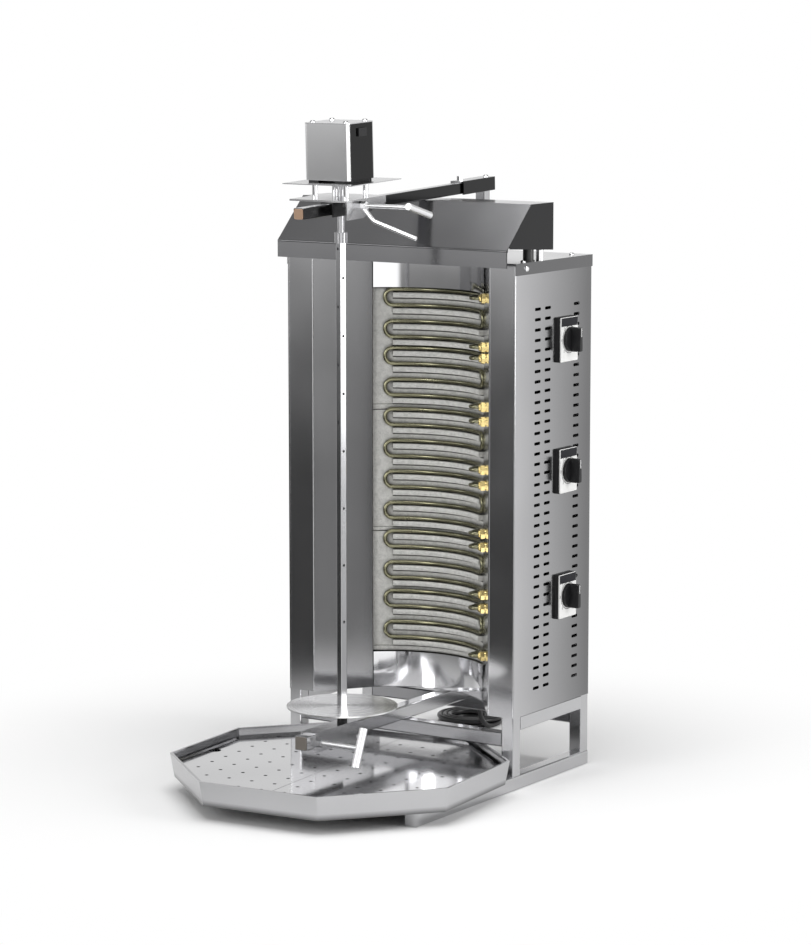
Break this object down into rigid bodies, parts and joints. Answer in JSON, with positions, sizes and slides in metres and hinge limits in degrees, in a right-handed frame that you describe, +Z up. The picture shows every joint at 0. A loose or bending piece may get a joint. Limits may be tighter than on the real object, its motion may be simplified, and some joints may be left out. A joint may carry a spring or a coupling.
{
  "type": "vertical kebab grill",
  "caption": "Vertical kebab grill: electric fire-brick heater wall in a steel housing, a motor-driven spit on a sliding arm in front, an octagonal drip tray and a mains cord.",
  "frame": {"origin": "on the ground, under the middle of the grill's box, the cord left out", "axes": "+Z up, -Y to the front where the spit and the tray stand, +X to the switch side"},
  "size_m": [0.5716, 1.0855, 1.1801],
  "materials": {
    "frame_steel": "brushed stainless tube",
    "panel_steel": "brushed stainless sheet",
    "polished_steel": "polished stainless",
    "fire_brick": "fine speckled grey clay",
    "heater_sheath": "heat-tinted olive sheath",
    "brass": "bright",
    "black_paint": "satin",
    "chrome": "plated",
    "black_plastic": "fine grain",
    "black_rubber": "smooth",
    "block_ceramic": "plain"
  },
  "bodies": {
    "housing": {"skid_left": "frame_steel", "skid_right": "frame_steel", "posts": "frame_steel", "side_rails": "frame_steel", "cross_front": "frame_steel", "cross_rear": "frame_steel", "end_plugs": "frame_steel", "floor_panel": "panel_steel", "side_left": "panel_steel", "side_right": "panel_steel", "back_panel": "panel_steel", "cap": "panel_steel", "band_low": "polished_steel", "band_high": "polished_steel", "brick_top": "fire_brick", "brick_middle": "fire_brick", "brick_bottom": "fire_brick", "heaters_top": "heater_sheath", "heaters_middle": "heater_sheath", "heaters_bottom": "heater_sheath", "heater_nuts": "brass", "hood": "panel_steel", "hood_posts": "black_paint", "hood_spacers": "chrome", "cap_screws": "chrome", "switch_bodies": "black_plastic", "switch_plates": "polished_steel", "mast": "frame_steel", "arm_bar": "frame_steel", "arm_bracket": "frame_steel", "arm_bolts": "chrome", "low_bar": "frame_steel", "terminal_block": "block_ceramic", "cord_gland": "black_plastic", "cord_run": "black_rubber", "cord_coil": "black_rubber", "plug": "black_plastic"},
    "upper_carriage": {"carriage_guide": "black_paint", "carriage_plate": "panel_steel", "pillars": "chrome", "heat_shield": "panel_steel", "motor_cover": "panel_steel", "motor_lid": "panel_steel", "lid_screws": "chrome", "gear_motor": "black_plastic"},
    "drive": {"drive_shaft": "polished_steel", "spit_ends": "polished_steel", "spit": "polished_steel", "disc": "polished_steel"},
    "upper_clamp": {"upper_screw": "chrome"},
    "lock": {"lock_lever": "chrome"},
    "lower_carriage": {"sleeve": "frame_steel", "bearing": "black_plastic"},
    "lower_clamp": {"lower_screw": "chrome"},
    "tray": {"tray": "panel_steel"},
    "plate_left": {"tray_plate_left": "polished_steel"},
    "plate_right": {"tray_plate_right": "polished_steel"},
    "knob_a": {"knob_top": "black_plastic"},
    "knob_b": {"knob_middle": "black_plastic"},
    "knob_c": {"knob_bottom": "black_plastic"}
  },
  "joints": [
    {"name": "upper_slide", "type": "slide", "parent": "housing", "child": "upper_carriage", "axis": [0, 0.9993, 0.0375], "range_m": [-0.02, 0.06]},
    {"name": "spit_turn", "type": "hinge", "parent": "upper_carriage", "child": "drive", "pos_m": [0.003, -0.0896, 0.6], "axis": [0, 0, 1], "continuous": true},
    {"name": "upper_clamp_turn", "type": "hinge", "parent": "upper_carriage", "child": "upper_clamp", "pos_m": [0.003, -0.12378, 1.03622], "axis": [1, 0, 0], "range_deg": [0, 180]},
    {"name": "lock_turn", "type": "hinge", "parent": "upper_clamp", "child": "lock", "pos_m": [0.003, -0.12378, 1.03622], "axis": [1, 0, 0], "range_deg": [-40, 40]},
    {"name": "lower_slide", "type": "slide", "parent": "housing", "child": "lower_carriage", "axis": [0, 1, 0], "range_m": [-0.02, 0.06]},
    {"name": "lower_clamp_turn", "type": "hinge", "parent": "lower_carriage", "child": "lower_clamp", "pos_m": [0.003, -0.1826, 0.1125], "axis": [1, 0, 0], "range_deg": [-180, 180]},
    {"name": "tray_slide", "type": "slide", "parent": "housing", "child": "tray", "axis": [0, -1, 0], "range_m": [0, 0.25]},
    {"name": "plate_left_lift", "type": "slide", "parent": "tray", "child": "plate_left", "axis": [0, 0, 1], "range_m": [0, 0.015]},
    {"name": "plate_right_lift", "type": "slide", "parent": "tray", "child": "plate_right", "axis": [0, 0, 1], "range_m": [0, 0.015]},
    {"name": "knob_top_turn", "type": "hinge", "parent": "housing", "child": "knob_a", "pos_m": [0.263, 0.2614, 0.786], "axis": [-1, 0, 0], "range_deg": [0, 135]},
    {"name": "knob_middle_turn", "type": "hinge", "parent": "housing", "child": "knob_b", "pos_m": [0.263, 0.2614, 0.552], "axis": [-1, 0, 0], "range_deg": [0, 135]},
    {"name": "knob_bottom_turn", "type": "hinge", "parent": "housing", "child": "knob_c", "pos_m": [0.263, 0.2614, 0.326], "axis": [-1, 0, 0], "range_deg": [0, 135]}
  ],
  "couplings": [
    {"joint": "lower_slide", "follows": "upper_slide", "ratio": 0.9993}
  ]
}
